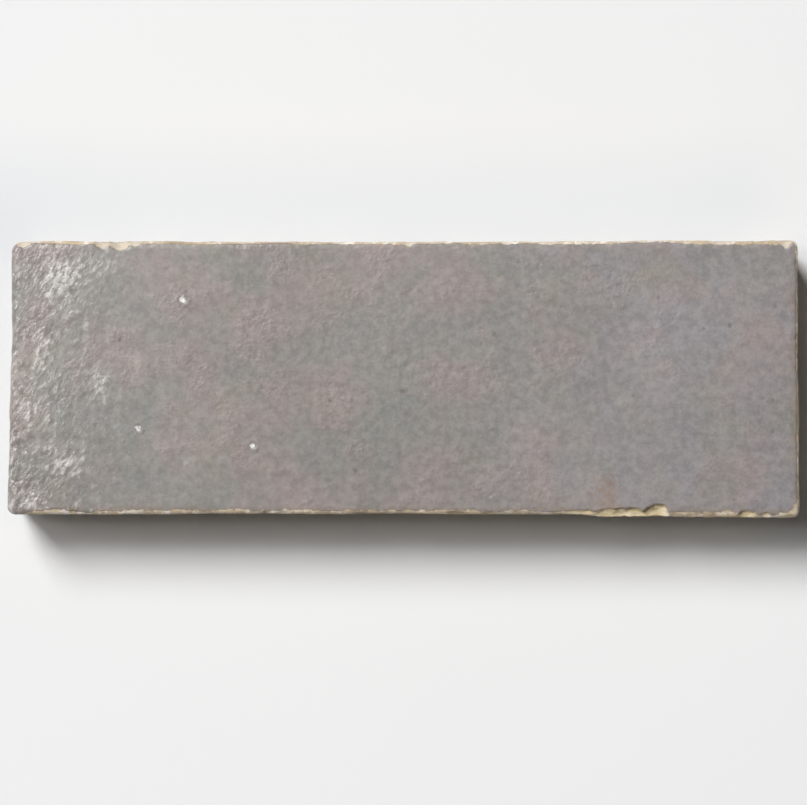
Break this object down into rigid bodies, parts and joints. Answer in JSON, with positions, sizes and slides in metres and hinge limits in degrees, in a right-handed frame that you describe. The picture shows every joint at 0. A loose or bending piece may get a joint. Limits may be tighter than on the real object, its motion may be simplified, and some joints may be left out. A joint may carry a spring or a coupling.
{
  "type": "glazed clay tile",
  "caption": "Handmade fired-clay wall tile with a glazed, gently crowned face, worn and chipped arrises and sides cut back towards its plain back.",
  "frame": {"origin": "middle of the plain back, on the surface that the tile lies on", "axes": "+X along the tile's length, +Y across its face, +Z out of the back towards the glazed face"},
  "size_m": [0.1456, 0.0512, 0.018],
  "materials": {
    "glazed_clay": "satin-gloss grey glaze, bare clay on sides and back"
  },
  "bodies": {
    "root": {"tile": "glazed_clay"}
  },
  "joints": []
}
